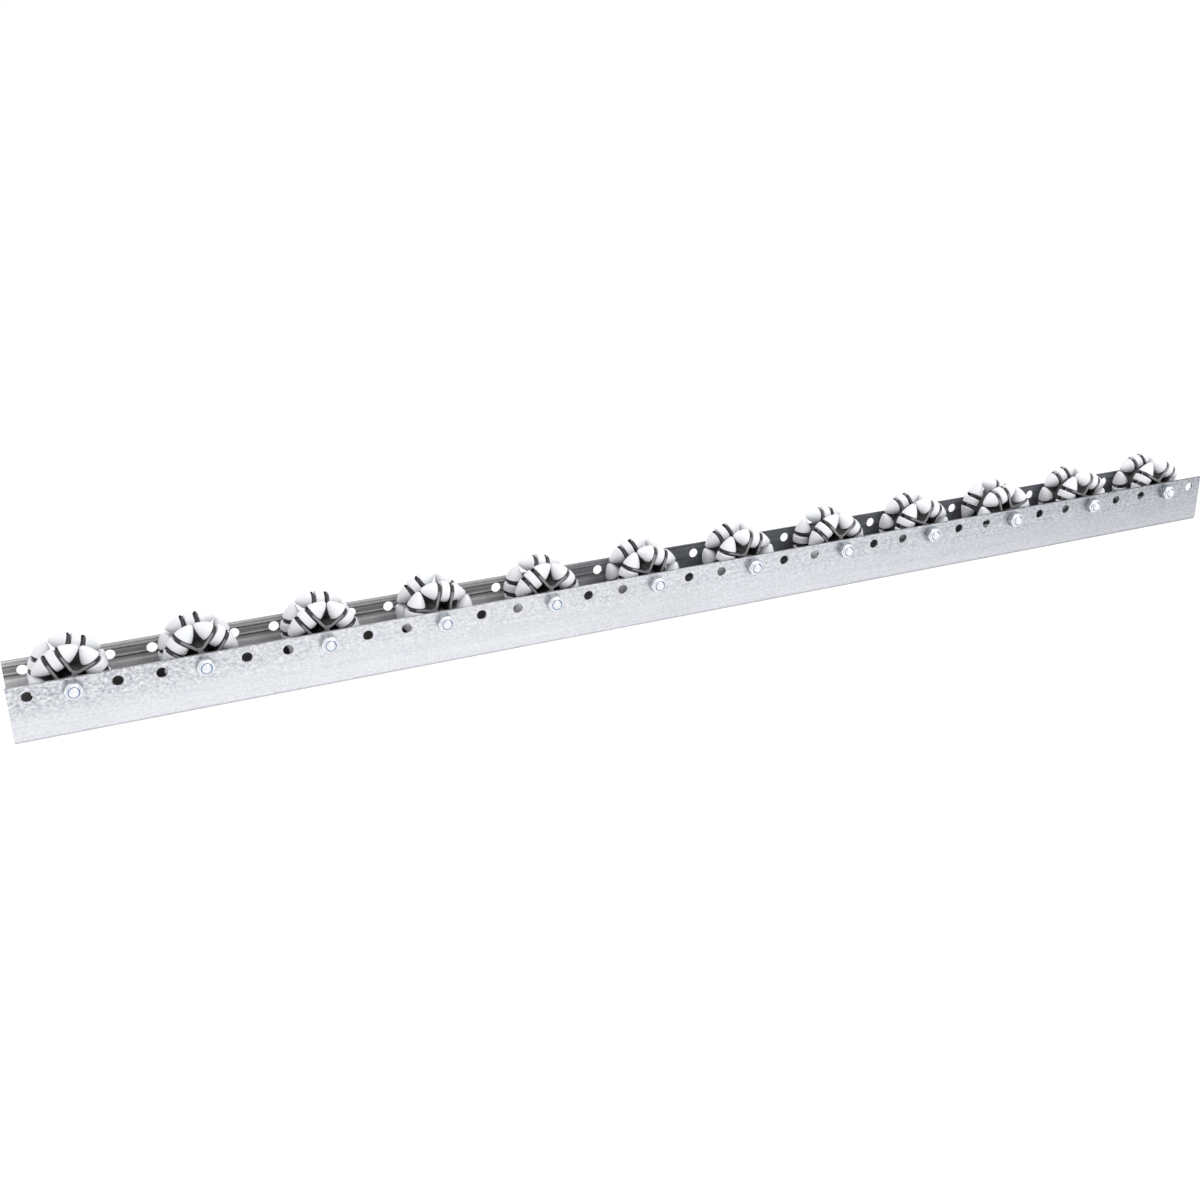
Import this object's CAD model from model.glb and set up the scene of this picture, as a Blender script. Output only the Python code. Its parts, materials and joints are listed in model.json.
# Flow rack roller track: a punched and folded rail that carries twelve omni-directional wheels.
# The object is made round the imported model, in the order in which the real one is put together.
import json
import math

import bmesh
import bpy
from mathutils import Euler, Matrix, Vector


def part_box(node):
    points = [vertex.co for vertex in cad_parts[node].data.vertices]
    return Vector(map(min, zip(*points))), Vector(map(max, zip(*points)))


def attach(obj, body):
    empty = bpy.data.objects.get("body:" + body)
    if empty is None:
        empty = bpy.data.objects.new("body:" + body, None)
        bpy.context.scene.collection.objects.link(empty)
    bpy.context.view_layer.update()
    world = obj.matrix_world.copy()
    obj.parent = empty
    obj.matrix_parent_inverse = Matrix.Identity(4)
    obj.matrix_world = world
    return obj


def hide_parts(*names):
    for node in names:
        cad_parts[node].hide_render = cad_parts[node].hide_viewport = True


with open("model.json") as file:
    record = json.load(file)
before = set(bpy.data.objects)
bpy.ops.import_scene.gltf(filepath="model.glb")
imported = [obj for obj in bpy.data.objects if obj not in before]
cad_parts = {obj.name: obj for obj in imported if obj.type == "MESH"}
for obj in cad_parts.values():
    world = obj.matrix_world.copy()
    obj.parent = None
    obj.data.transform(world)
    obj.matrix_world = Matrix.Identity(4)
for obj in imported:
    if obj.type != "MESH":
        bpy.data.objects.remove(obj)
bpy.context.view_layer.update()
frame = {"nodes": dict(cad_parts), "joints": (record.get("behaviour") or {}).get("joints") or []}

# Rail: a strip of galvanised sheet, punched with a row of holes near each long edge and folded
# into a channel. One hole pitch of it is drawn and repeated along the rail; then it gets the
# sheet's thickness, and its cut edges are eased as punching and shearing leave them.
rail_low, rail_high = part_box("rail")
sheet_thickness = 0.0015
fold_radius = 0.003
punched_radius = 0.00325
cut_edge_radius = 0.00018
window_half = 0.005
window_steps = 8
side_column = 0.35
flange_rows = (0.010, 0.017)
flat_steps = 3
fold_steps = 8
merge_distance = 1e-6
weld_distance = 1e-5
far_end_start = -0.1
far_end_length = 0.52
marks_end = -0.14
rough_end = -0.25
upper_start = 0.35
fold_shade_height = 0.0025
roll_marks = (
    (12.0, 0.11), (16.0, 0.14), (19.0, 0.68), (21.5, 0.70), (22.6, 0.84), (23.5, 1.00),
    (24.2, 0.66), (25.0, 0.46), (25.9, 0.34), (26.4, 0.05), (26.8, 0.14), (27.4, 0.74),
    (27.9, 0.76), (28.4, 0.32), (30.2, 0.30), (31.0, 0.48), (31.6, 0.26), (32.1, 0.06),
    (32.7, 0.58), (33.6, 0.68), (34.4, 0.36), (35.0, 0.78), (35.6, 1.00), (35.9, 0.4),
)
wheel_spins = [j for j in frame["joints"] if "roller" not in j["name"]]
wheel_x = [j["pos_m"][0] for j in wheel_spins]
axle_z = wheel_spins[0]["pos_m"][2]
wheel_pitch = wheel_x[1] - wheel_x[0]
hole_pitch = wheel_pitch / 3
hole_count = 3 * len(wheel_x)


class Wire:
    """A value inside a material: arithmetic on it adds the Math nodes that work it out."""

    def __init__(self, finish, socket):
        self.finish, self.socket = finish, socket

    def maths(self, operation, first, second):
        return self.finish.node("ShaderNodeMath", {"operation": operation}, {0: first, 1: second})

    def __add__(self, other):
        return self.maths("ADD", self, other)

    def __sub__(self, other):
        return self.maths("SUBTRACT", self, other)

    def __rsub__(self, other):
        return self.maths("SUBTRACT", other, self)

    def __mul__(self, other):
        return self.maths("MULTIPLY", self, other)

    def __pow__(self, other):
        return self.maths("POWER", self, other)

    def __lt__(self, other):
        return self.maths("LESS_THAN", self, other)

    def __abs__(self):
        return self.maths("ABSOLUTE", self, 0.0)

    def at_least(self, other):
        return self.maths("MAXIMUM", self, other)

    def clipped(self):
        """The value kept between 0 and 1."""
        return self.maths("MINIMUM", self.at_least(0.0), 1.0)

    __radd__, __rmul__ = __add__, __mul__


class Finish:
    """A material, or the surround, in the making: one shader, with Object coordinates."""

    def __init__(self, name, family=bpy.data.materials, shader="Principled BSDF"):
        self.material = family.new(name)
        self.material.use_nodes = True
        self.tree = self.material.node_tree
        self.skin = self.tree.nodes[shader]
        self.place = self.node("ShaderNodeTexCoord", output="Object")

    def node(self, kind, settings=None, sockets=None, output=0):
        made = self.tree.nodes.new(kind)
        for key, value in (settings or {}).items():
            if key == "stops":
                while len(made.color_ramp.elements) < len(value):
                    made.color_ramp.elements.new(0.5)
                for stop, (position, shade) in zip(made.color_ramp.elements, value):
                    stop.position, stop.color = position, (*shade, 1)
            else:
                setattr(made, key, value)
        for key, value in (sockets or {}).items():
            self.feed(made.inputs[key], value)
        return Wire(self, made.outputs[output])

    def feed(self, target, value):
        if isinstance(value, Wire):
            self.tree.links.new(value.socket, target)
        else:
            target.default_value = value

    def stretched(self, x, y, z):
        return self.node("ShaderNodeMapping", {}, {"Vector": self.place, "Scale": (x, y, z)})

    def noise(self, where, scale, detail=2.0, roughness=0.5):
        sockets = {"Vector": where, "Scale": scale, "Detail": detail, "Roughness": roughness}
        return self.node("ShaderNodeTexNoise", {}, sockets, "Fac")

    def shades(self, amount, *stops):
        return self.node("ShaderNodeValToRGB", {"stops": stops}, {"Fac": amount})

    def along(self, axis):
        """How far along one axis of the object this point lies."""
        return self.node("ShaderNodeSeparateXYZ", {}, {0: self.place}, axis)

    def mix(self, amount, first, second):
        sockets = {0: amount, 6: first, 7: second}
        return self.node("ShaderNodeMix", {"data_type": "RGBA"}, sockets, 2)

    def bump(self, height, distance):
        sockets = {"Height": height, "Distance": distance, "Strength": 1.0}
        return self.node("ShaderNodeBump", {}, sockets, "Normal")

    def made(self, **looks):
        for key, value in looks.items():
            self.feed(self.skin.inputs[key.replace("_", " ").title()], value)
        return self.material


def galvanised_sheet():
    zinc = Finish("galvanised_sheet")
    x, y, z = zinc.along("X"), zinc.along("Y"), zinc.along("Z")
    across = (abs(y) - (rail_high.y - fold_radius)).at_least(0.0)
    down = (fold_radius - z).at_least(0.0)
    inner = (across * across + down * down) ** 0.5 < fold_radius - sheet_thickness / 2
    speckle = zinc.noise(zinc.stretched(0.8, 1, 1), 1300.0, 3.0, 0.7)
    flake = zinc.noise(zinc.stretched(0.8, 1, 1), 600.0, 3.0, 0.65)
    cloud = zinc.noise(zinc.stretched(0.4, 1, 1), 90.0, 3.0, 0.6)
    drawn = zinc.noise(zinc.stretched(0.006, 1, 1), 420.0, 4.0, 0.65)
    scratch = zinc.noise(zinc.stretched(0.012, 1, 1), 2200.0, 2.0, 0.6)
    height = z * (1 / rail_high.z)
    far_end = ((x - far_end_start) * (1 / far_end_length)).clipped()
    mottle = speckle * 0.3 + flake * 0.4 + cloud * 0.1 + drawn * 0.2
    cut_edge = ((z - rail_high.z) * (1 / cut_edge_radius) + 1).clipped()
    fold = ((fold_shade_height - z) * 600.0).clipped()
    lustre = 0.755 + (mottle - 0.5) * 1.1 - far_end * 0.27 - cut_edge * 0.4 - fold * 0.33
    lustre = lustre + (0.5 - height) * (far_end * 0.10 + 0.05)
    fleck = zinc.noise(zinc.stretched(0.7, 1, 1), 520.0, 3.0, 0.75)
    upper = ((height - upper_start) * 3.0).clipped()
    rough = ((rough_end - x) * 6.0).clipped() * upper
    lustre = lustre - rough * 0.12 + (0.5 - fleck) * (rough * 0.9 + upper * 0.8)
    outside = zinc.shades(
        lustre, (0.0, (0.0, 0.0, 0.0)), (0.45, (0.425, 0.437, 0.475)), (1.0, (0.955, 0.965, 1.0))
    )
    wander = (drawn - 0.5) * 0.008 + (flake - 0.5) * 0.016
    marks = [
        (mark / 1000 / rail_high.z, (shade, shade * 1.005, shade * 1.02))
        for mark, shade in roll_marks
    ]
    marked = zinc.shades(height + wander, *marks)
    lined = zinc.shades(
        drawn * 0.6 + scratch * 0.25 + flake * 0.15,
        (0.38, (0.13, 0.138, 0.155)), (0.5, (0.19, 0.20, 0.22)), (0.62, (0.30, 0.31, 0.33)),
    )
    faded = ((x - marks_end) * 8.0).clipped()
    inside = zinc.mix(faded, marked, lined)
    wear = (scratch - 0.5) * 0.9 + (flake - 0.5) * 0.5 + 0.93
    inside = zinc.node("ShaderNodeVectorMath", {"operation": "SCALE"}, {0: inside, "Scale": wear})
    relief = speckle * 0.5 + drawn * 0.6 + cloud * 0.8 + scratch * 0.2
    return zinc.made(
        base_color=zinc.mix(inner, outside, inside),
        metallic=1.0 - inner * 0.9,
        roughness=0.24 + mottle * 0.24,
        normal=zinc.bump(relief, 0.00004),
    )


def rail_tree():
    """Geometry Nodes: one mesh repeated in a row along the rail, and cut off at both ends."""
    tree = bpy.data.node_groups.new("along_the_rail", "GeometryNodeTree")
    for name, kind in (
        ("Geometry", "Geometry"), ("Count", "Int"), ("First", "Vector"), ("Pitch", "Vector"),
        ("Left End", "Float"), ("Right End", "Float"), ("Weld", "Float"), ("Material", "Material"),
    ):
        tree.interface.new_socket(name, in_out="INPUT", socket_type="NodeSocket" + kind)
    tree.interface.new_socket("Geometry", in_out="OUTPUT", socket_type="NodeSocketGeometry")

    def step(kind, **sockets):
        made = tree.nodes.new(kind)
        for key, value in sockets.items():
            tree.links.new(value, made.inputs[key.replace("_", " ").title()])
        return made.outputs

    given = step("NodeGroupInput")
    row = step(
        "GeometryNodeMeshLine",
        count=given["Count"], start_location=given["First"], offset=given["Pitch"],
    )
    placed = step("GeometryNodeInstanceOnPoints", points=row[0], instance=given["Geometry"])
    real = step("GeometryNodeRealizeInstances", geometry=placed[0])
    at = step("ShaderNodeSeparateXYZ", vector=step("GeometryNodeInputPosition")[0])
    kept = step("ShaderNodeClamp", value=at["X"], min=given["Left End"], max=given["Right End"])
    joined = step("ShaderNodeCombineXYZ", x=kept[0], y=at["Y"], z=at["Z"])
    cut = step("GeometryNodeSetPosition", geometry=real[0], position=joined[0])
    welded = step("GeometryNodeMergeByDistance", geometry=cut[0], distance=given["Weld"])
    coated = step("GeometryNodeSetMaterial", geometry=welded[0], material=given["Material"])
    step("NodeGroupOutput", geometry=coated[0])
    return tree


def piece_of(name, mesh_code, finish=None):
    mesh = bpy.data.meshes.new(name)
    bmesh.ops.recalc_face_normals(mesh_code, faces=mesh_code.faces)
    mesh_code.to_mesh(mesh)
    mesh_code.free()
    if finish:
        mesh.materials.append(finish)
    piece = bpy.data.objects.new(name, mesh)
    bpy.context.scene.collection.objects.link(piece)
    return piece


def repeat(piece, **values):
    repeater = piece.modifiers.new("along_the_rail", "NODES")
    repeater.node_group = along_the_rail
    sides = along_the_rail.interface.items_tree
    names = {side.name: side.identifier for side in sides if side.in_out == "INPUT"}
    for key, value in values.items():
        repeater[names[key.replace("_", " ").title()]] = value


def ease_edges(piece, radius, angle=35):
    """Round the sharp edges a little, and keep the flats flat to the eye."""
    eased = piece.modifiers.new("eased_edges", "BEVEL")
    eased.width, eased.segments = radius, 2
    eased.limit_method, eased.angle_limit = "ANGLE", math.radians(angle)
    eased.harden_normals = True


def settle(piece):
    """Turn the piece and its modifiers into one plain, smooth mesh."""
    piece.data.shade_smooth()
    bpy.context.view_layer.update()
    made = piece.evaluated_get(bpy.context.evaluated_depsgraph_get())
    mesh = bpy.data.meshes.new_from_object(made)
    piece.modifiers.clear()
    piece.data = mesh
    return piece


def punched_cell():
    """One hole pitch of the folded strip, seen as its outer face, with its two holes."""
    window = [window_half * (2 * k / window_steps - 1) for k in range(window_steps + 1)]
    edge, beside = hole_pitch / 2, hole_pitch * side_column
    columns = [-edge, -beside, *window, beside, edge]
    flat_end = rail_high.y - fold_radius
    section = [(flat_end * k / flat_steps, 0.0) for k in range(flat_steps + 1)]
    for step in range(1, fold_steps + 1):
        turn = math.radians(90) * step / fold_steps
        section.append(
            (flat_end + fold_radius * math.sin(turn), fold_radius * (1 - math.cos(turn)))
        )
    heights = [*flange_rows, *(axle_z + z for z in window), rail_high.z]
    section += [(rail_high.y, z) for z in heights]
    low, left = len(section) - window_steps - 2, 2
    high, right = low + window_steps, left + window_steps
    cell = bmesh.new()
    for side in (-1, 1):
        grid = [[cell.verts.new((x, side * y, z)) for x in columns] for y, z in section]
        for r in range(len(section) - 1):
            for c in range(len(columns) - 1):
                if not (low <= r < high and left <= c < right):
                    cell.faces.new((grid[r][c], grid[r][c + 1], grid[r + 1][c + 1], grid[r + 1][c]))
        window_line = [grid[low][left + k] for k in range(window_steps)]
        window_line += [grid[low + k][right] for k in range(window_steps)]
        window_line += [grid[high][right - k] for k in range(window_steps)]
        window_line += [grid[high - k][left] for k in range(window_steps)]
        hole_line = []
        for k in range(len(window_line)):
            turn = 2 * math.pi * k / len(window_line) - math.radians(135)
            x, z = punched_radius * math.cos(turn), punched_radius * math.sin(turn)
            hole_line.append(cell.verts.new((x, side * rail_high.y, axle_z + z)))
        for k in range(len(window_line)):
            cell.faces.new((window_line[k - 1], window_line[k], hole_line[k], hole_line[k - 1]))
    bmesh.ops.remove_doubles(cell, verts=cell.verts, dist=merge_distance)
    return cell


along_the_rail = rail_tree()
rail_sheet = piece_of("rail_sheet", punched_cell())
repeat(
    rail_sheet,
    count=hole_count,
    first=(wheel_x[0] - hole_pitch, 0, 0),
    pitch=(hole_pitch, 0, 0),
    left_end=rail_low.x,
    right_end=rail_high.x,
    weld=weld_distance,
    material=galvanised_sheet(),
)
thickness = rail_sheet.modifiers.new("sheet_thickness", "SOLIDIFY")
thickness.thickness, thickness.offset, thickness.use_even_offset = sheet_thickness, -1, True
ease_edges(rail_sheet, cut_edge_radius)
settle(rail_sheet)
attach(rail_sheet, "track")
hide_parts("rail")

# Axle bolts: hexagon-headed M6 bolts of zinc-plated steel, one through both flanges and the
# wheel at every third hole. The head is forged with a chamfered crown, and the thread is rolled.
head_low, bolt_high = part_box("axle_bolts")
bolt_radius = 0.003
across_flats = 0.010
crown_radius = 0.00475
crown_slope = math.tan(math.radians(30))
head_washer = 0.0002
thread_pitch = 0.001
thread_depth = 0.0006
thread_length = 0.009
thread_steps = 54
flank_slope = 2.6
crest_width = 0.2
run_out_turns = 1.5
tip_chamfer = 0.0008
bolt_edge_radius = 0.0001
turn_steps = 48
dull_middle = 0.002
dull_half = 0.0021


def hexagon(turn):
    """How far the hexagon's side is from the axle in this direction."""
    return across_flats / 2 / math.cos((turn % math.radians(60)) - math.radians(30))


def turned(rings, closed):
    """A mesh of rings round the axle; a ring gives (radius, y) for each direction."""
    body = bmesh.new()
    turns = [2 * math.pi * k / turn_steps for k in range(turn_steps)]
    made = []
    for ring in rings:
        line = []
        for turn in turns:
            radius, y = ring(turn)
            line.append(
                body.verts.new((radius * math.cos(turn), y, axle_z + radius * math.sin(turn)))
            )
        made.append(line)
    pairs = list(zip(made, made[1:])) + ([(made[-1], made[0])] if closed else [])
    for line, after in pairs:
        for k in range(turn_steps):
            n = (k + 1) % turn_steps
            body.faces.new((line[k], line[n], after[n], after[k]))
    if not closed:
        for line in (made[0], made[-1]):
            centre = body.verts.new((0, line[0].co.y, axle_z))
            for k in range(turn_steps):
                body.faces.new((line[k], line[(k + 1) % turn_steps], centre))
    return body


def bolt_rings():
    seat, tip = rail_high.y, head_low.y
    rings = [
        lambda turn: (crown_radius * 0.5, bolt_high.y),
        lambda turn: (crown_radius, bolt_high.y),
        lambda turn: (hexagon(turn), bolt_high.y - (hexagon(turn) - crown_radius) * crown_slope),
        lambda turn: (hexagon(turn), seat + head_washer),
        lambda turn: (hexagon(turn) - head_washer, seat),
        lambda turn: (bolt_radius, seat),
    ]
    for step in range(thread_steps + 1):
        y = tip + thread_length * (1 - step / thread_steps)

        def ring(turn, y=y):
            along = (y - tip) / thread_pitch + turn / (2 * math.pi)
            groove = min(1.0, max(0.0, abs((along % 1.0) - 0.5) * flank_slope - crest_width))
            run_out = min(1.0, (tip + thread_length - y) / (run_out_turns * thread_pitch))
            radius = bolt_radius - thread_depth * groove * run_out
            return min(radius, bolt_radius - tip_chamfer + (y - tip)), y

        rings.append(ring)
    return rings


def zinc_plate():
    """Zinc plate, bright except on the nuts' hexagons, which are duller."""
    plate = Finish("zinc_plate")
    haze = plate.noise(plate.place, 700.0, 3.0, 0.6)
    tint = plate.shades(haze, (0.35, (0.74, 0.77, 0.81)), (0.65, (0.90, 0.91, 0.93)))
    dull = plate.shades(haze, (0.35, (0.30, 0.34, 0.345)), (0.65, (0.60, 0.64, 0.65)))
    beyond_rail = plate.along("Y") * -1.0 - rail_high.y
    on_hexagon = abs(beyond_rail - dull_middle) < dull_half
    return plate.made(
        base_color=plate.mix(on_hexagon, tint, dull),
        metallic=0.95,
        roughness=0.22 + haze * 0.16,
        normal=plate.bump(haze, 0.00002),
    )


def repeat_at_wheels(piece, finish):
    repeat(
        piece,
        count=len(wheel_x),
        first=(wheel_x[0], 0, 0),
        pitch=(wheel_pitch, 0, 0),
        left_end=rail_low.x,
        right_end=rail_high.x,
        weld=0.0,
        material=finish,
    )


plated = zinc_plate()
hex_bolts = piece_of("hex_bolts", turned(bolt_rings(), False))
ease_edges(hex_bolts, bolt_edge_radius, 25)
repeat_at_wheels(hex_bolts, plated)
settle(hex_bolts)
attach(hex_bolts, "track")
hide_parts("axle_bolts")

# Axle tubes: a drawn steel tube over each bolt keeps the flanges apart when the nut is done up,
# and it is the axle that the wheel turns on.


def drawn_tube():
    steel = Finish("drawn_tube")
    lines = steel.noise(steel.stretched(1, 0.03, 1), 1500.0, 2.0)
    return steel.made(
        base_color=(0.62, 0.62, 0.63, 1), metallic=1.0, roughness=0.25 + lines * 0.2,
        normal=steel.bump(lines, 0.00001),
    )


def paint_node(name, material):
    node = frame["nodes"][name]
    for slot in node.material_slots:
        slot.material = material
    node.data.shade_smooth()


paint_node("axle_tubes", drawn_tube())

# Wheel hubs: two glass-filled black nylon mouldings a wheel, pegged back to back, with a ring of
# the same nylon at each end to keep them in the middle of the rail. Each half has a boss, a web
# plate and four pairs of arms that end in eyes, and leaves the mould with rounded edges.
mould_radius = 0.0004
flat_angle = math.radians(0.6)
hub_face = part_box("wheel_01_hub")[1].y
face_margin = 0.0001


def black_nylon():
    nylon = Finish("black_nylon")
    grain = nylon.noise(nylon.place, 1400.0, 3.0, 0.6)
    flow = nylon.noise(nylon.place, 120.0, 2.0)
    shade = nylon.shades(flow, (0.3, (0.024, 0.024, 0.026)), (0.7, (0.036, 0.036, 0.039)))
    outwards = abs(nylon.along("Y"))
    outermost = ((outwards - hub_face) * (1 / mould_radius) + 1).clipped()
    rubbed = outermost * (outwards < hub_face + face_margin) * (grain * 0.5 + 0.7)
    return nylon.made(
        base_color=nylon.mix(rubbed.clipped(), shade, (0.27, 0.265, 0.28, 1)),
        roughness=0.36 + grain * 0.18,
        normal=nylon.bump(grain, 0.00003),
    )


def merged_copy(node):
    """The CAD node's shape, with its loose triangles joined."""
    code = bmesh.new()
    code.from_mesh(frame["nodes"][node].data)
    bmesh.ops.remove_doubles(code, verts=code.verts, dist=merge_distance)
    return code


def moulded(name, node):
    """The node's shape again, with whole faces in place of triangles and rounded edges."""
    code = merged_copy(node)
    bmesh.ops.dissolve_limit(
        code, angle_limit=flat_angle, verts=code.verts[:], edges=code.edges[:]
    )
    halves = piece_of(name, code, hub_finish)
    ease_edges(halves, mould_radius, 30)
    return settle(halves)


hub_finish = black_nylon()
paint_node("hub_spacers", hub_finish)
for spin in wheel_spins:
    wheel = spin["name"].replace("_spin", "")
    hub = moulded(wheel + "_mouldings", wheel + "_hub")
    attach(hub, wheel)
    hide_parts(wheel + "_hub")

# Rollers: barrels of white acetal, each moulded as a middle and two pointed noses on one neck,
# which snaps into the eyes of its pair of arms. Eight to a wheel, four in each row.
groove_angle = math.radians(32)
triangles_kept = 0.34


def white_acetal():
    acetal = Finish("white_acetal")
    grain = acetal.noise(acetal.place, 900.0, 2.0)
    scuff = acetal.noise(acetal.place, 160.0, 4.0, 0.65)
    shade = acetal.shades(scuff, (0.3, (0.84, 0.85, 0.88)), (0.6, (0.865, 0.875, 0.905)))
    return acetal.made(
        base_color=shade, roughness=0.30 + scuff * 0.16, normal=acetal.bump(grain, 0.00001)
    )


def barrels(name, node):
    """The node's rollers again, with fewer triangles and crisp groove edges."""
    rollers = piece_of(name, merged_copy(node), roller_finish)
    rollers.modifiers.new("fewer_triangles", "DECIMATE").ratio = triangles_kept
    settle(rollers).data.set_sharp_from_angle(angle=groove_angle)
    return rollers


roller_finish = white_acetal()
for name in [name for name in frame["nodes"] if "_roller" in name]:
    rollers = barrels(name.replace("roller", "barrel"), name)
    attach(rollers, name.replace("_rollers", ""))
    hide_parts(name)

# Lock nuts: zinc-plated hexagon nuts with a round collar, whose lip is rolled over a ring of
# blue nylon that grips the bolt's thread.
nut_low, nut_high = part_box("lock_nuts")
nut_height = nut_high.y - nut_low.y
hexagon_height = 0.0044
collar_radius = 0.0044
collar_bend = 0.0009
lip_radius = 0.0035
lip_depth = 0.00018
pocket_radius = 0.0038
pocket_floor = 0.0042
bore_radius = 0.00305
bore_mouth = (0.0036, 0.0006)
nut_edge_radius = 0.00012
nut_step = 0.0001


def nut_rings():
    face = nut_high.y

    def at(radius, height):
        return lambda turn: (radius, face - height)

    def side(low_end):
        def ring(turn):
            rise = (hexagon(turn) - crown_radius) * crown_slope
            return hexagon(turn), face - (rise if low_end else hexagon_height - rise)

        return ring

    collar = []
    for step in range(5):
        turn = math.radians(90) * step / 4
        out, up = collar_bend * math.cos(turn), collar_bend * math.sin(turn)
        collar.append(at(collar_radius - collar_bend + out, nut_height - collar_bend + up))
    return [
        at(bore_mouth[0], 0),
        at(crown_radius, 0),
        side(True),
        side(False),
        at(crown_radius - nut_step, hexagon_height),
        at(collar_radius, hexagon_height + 2 * nut_step),
        *collar,
        at(lip_radius + nut_step, nut_height),
        at(lip_radius, nut_height - nut_step),
        at(lip_radius, nut_height - lip_depth),
        at(pocket_radius, nut_height - lip_depth),
        at(pocket_radius, pocket_floor),
        at(bore_radius, pocket_floor),
        at(bore_radius, bore_mouth[1]),
    ]


def blue_nylon():
    nylon = Finish("blue_nylon")
    grain = nylon.noise(nylon.place, 1500.0, 2.0)
    return nylon.made(
        base_color=(0.09, 0.20, 0.52, 1), roughness=0.42 + grain * 0.12,
        normal=nylon.bump(grain, 0.00002),
    )


collar_nuts = piece_of("collar_nuts", turned(nut_rings(), True))
ease_edges(collar_nuts, nut_edge_radius, 28)
repeat_at_wheels(collar_nuts, plated)
settle(collar_nuts)
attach(collar_nuts, "track")
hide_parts("lock_nuts")
paint_node("lock_nut_inserts", blue_nylon())

# Studio: a pale floor under the rail, a white surround, one large soft lamp at the front right
# and a weaker one above. The camera stands before the rail's left end and looks along the rail.
floor_size = 12.0
floor_gap = 0.0002
room_light = 0.9
white_glow = 1.2
glow_share = 0.8
lamps = (
    ("key_lamp", (0.9, -1.0, 1.5), 0.7, 10.0),
    ("top_lamp", (-0.3, 0.3, 1.7), 1.0, 3.0),
)
camera_place = (-0.432643, -0.824385, 0.377053)
camera_turn = (68.08285, 0.96694, -24.13921)
focal_length = 42.603


def looked_at(finish):
    """1 where the camera looks, also in a reflection or through glass, and 0 for plain light."""
    camera, mirror, glass = (
        finish.node("ShaderNodeLightPath", output=ray)
        for ray in ("Is Camera Ray", "Is Glossy Ray", "Is Transmission Ray")
    )
    return camera.at_least(mirror).at_least(glass)


def white_floor():
    paper = Finish("white_floor")
    floor = paper.made(base_color=(0.9, 0.9, 0.9, 1), roughness=0.9)
    matt = Wire(paper, paper.skin.outputs[0])
    glow = paper.node("ShaderNodeEmission", {}, {"Strength": white_glow})
    share = looked_at(paper) * glow_share
    both = paper.node("ShaderNodeMixShader", {}, {0: share, 1: matt, 2: glow})
    paper.feed(paper.tree.nodes["Material Output"].inputs["Surface"], both)
    return floor


floor_code = bmesh.new()
bmesh.ops.create_grid(floor_code, x_segments=2, y_segments=2, size=floor_size)
bmesh.ops.translate(floor_code, verts=floor_code.verts, vec=(0, 0, rail_low.z - floor_gap))
studio_floor = piece_of("studio_floor", floor_code, white_floor())

surround = Finish("surround", bpy.data.worlds, "Background")
brightness = looked_at(surround) * (1.0 - room_light) + room_light
bpy.context.scene.world = surround.made(color=(1, 1, 1, 1), strength=brightness)

for name, place, size, power in lamps:
    lamp = bpy.data.lights.new(name, "AREA")
    lamp.shape, lamp.size, lamp.energy = "SQUARE", size, power
    holder = bpy.data.objects.new(name, lamp)
    bpy.context.scene.collection.objects.link(holder)
    aim = Vector((0, 0, axle_z)) - Vector(place)
    turn = aim.to_track_quat("-Z", "Y").to_matrix().to_4x4()
    holder.matrix_world = Matrix.Translation(place) @ turn

lens = bpy.data.cameras.new("camera")
lens.lens, lens.sensor_width = focal_length, 36.0
lens.clip_start, lens.clip_end = 0.01, 50.0
camera = bpy.data.objects.new("camera", lens)
bpy.context.scene.collection.objects.link(camera)
turn = Euler([math.radians(angle) for angle in camera_turn]).to_matrix().to_4x4()
camera.matrix_world = Matrix.Translation(camera_place) @ turn
bpy.context.scene.camera = camera
bpy.context.scene.view_settings.view_transform = "Standard"
